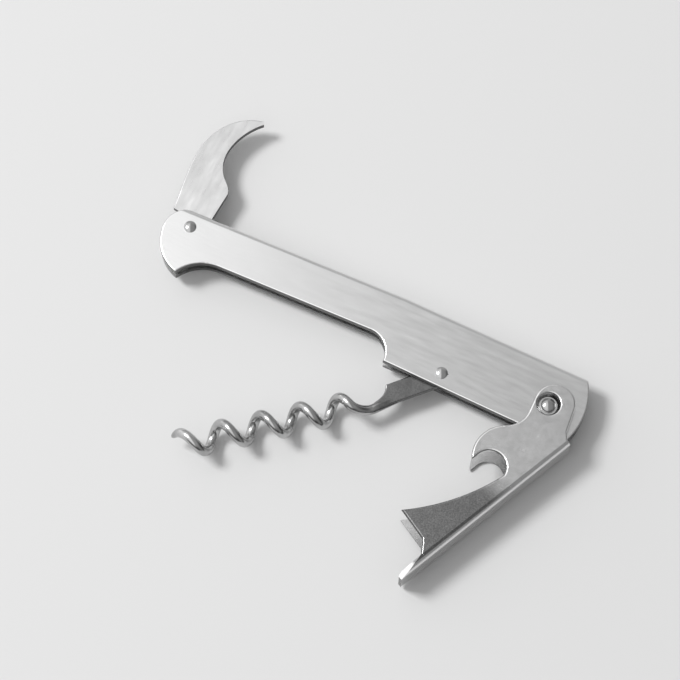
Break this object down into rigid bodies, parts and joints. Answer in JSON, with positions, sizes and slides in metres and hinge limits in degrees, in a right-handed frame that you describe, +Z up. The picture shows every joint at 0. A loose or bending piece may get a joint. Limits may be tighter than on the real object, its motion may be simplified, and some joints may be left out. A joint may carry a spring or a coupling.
{
  "type": "lever corkscrew",
  "caption": "Waiter's lever corkscrew: folded steel handle with a foil knife, a wire worm and a hinged lever with a crown-cap claw and bottle-lip rest.",
  "frame": {"origin": "middle of the opened tool's footprint, on the surface that the lever lies on", "axes": "+X along the handle from the knife end to the lever end, +Y towards the folded back that the knife swings out of, +Z up through the plates, away from the surface"},
  "size_m": [0.12, 0.097, 0.0108],
  "materials": {
    "polished_steel": "polished",
    "lever_steel": "polished",
    "worm_steel": "polished",
    "blade_steel": "satin",
    "rivet_steel": "polished",
    "spring_steel": "satin"
  },
  "bodies": {
    "handle": {"handle_body": "polished_steel", "back_spring": "spring_steel", "knife_rivet": "rivet_steel", "worm_rivet": "rivet_steel", "lever_rivet": "rivet_steel"},
    "knife": {"knife_blade": "blade_steel"},
    "worm": {"worm": "worm_steel"},
    "lever": {"lever": "lever_steel"}
  },
  "joints": [
    {"name": "lever_pivot", "type": "hinge", "parent": "handle", "child": "lever", "pos_m": [0.05092, 0.0077, 0.0054], "axis": [0, 0, 1], "range_deg": [-64, 70]},
    {"name": "worm_pivot", "type": "hinge", "parent": "handle", "child": "worm", "pos_m": [0.02312, 0.0045, 0.0054], "axis": [0, 0, 1], "range_deg": [-36.5, 40]},
    {"name": "knife_pivot", "type": "hinge", "parent": "handle", "child": "knife", "pos_m": [-0.05178, 0.013, 0.0054], "axis": [0, 0, 1], "range_deg": [-93, 85]}
  ],
  "couplings": [
    {"joint": "worm_pivot", "follows": "lever_pivot", "ratio": 0.57}
  ]
}
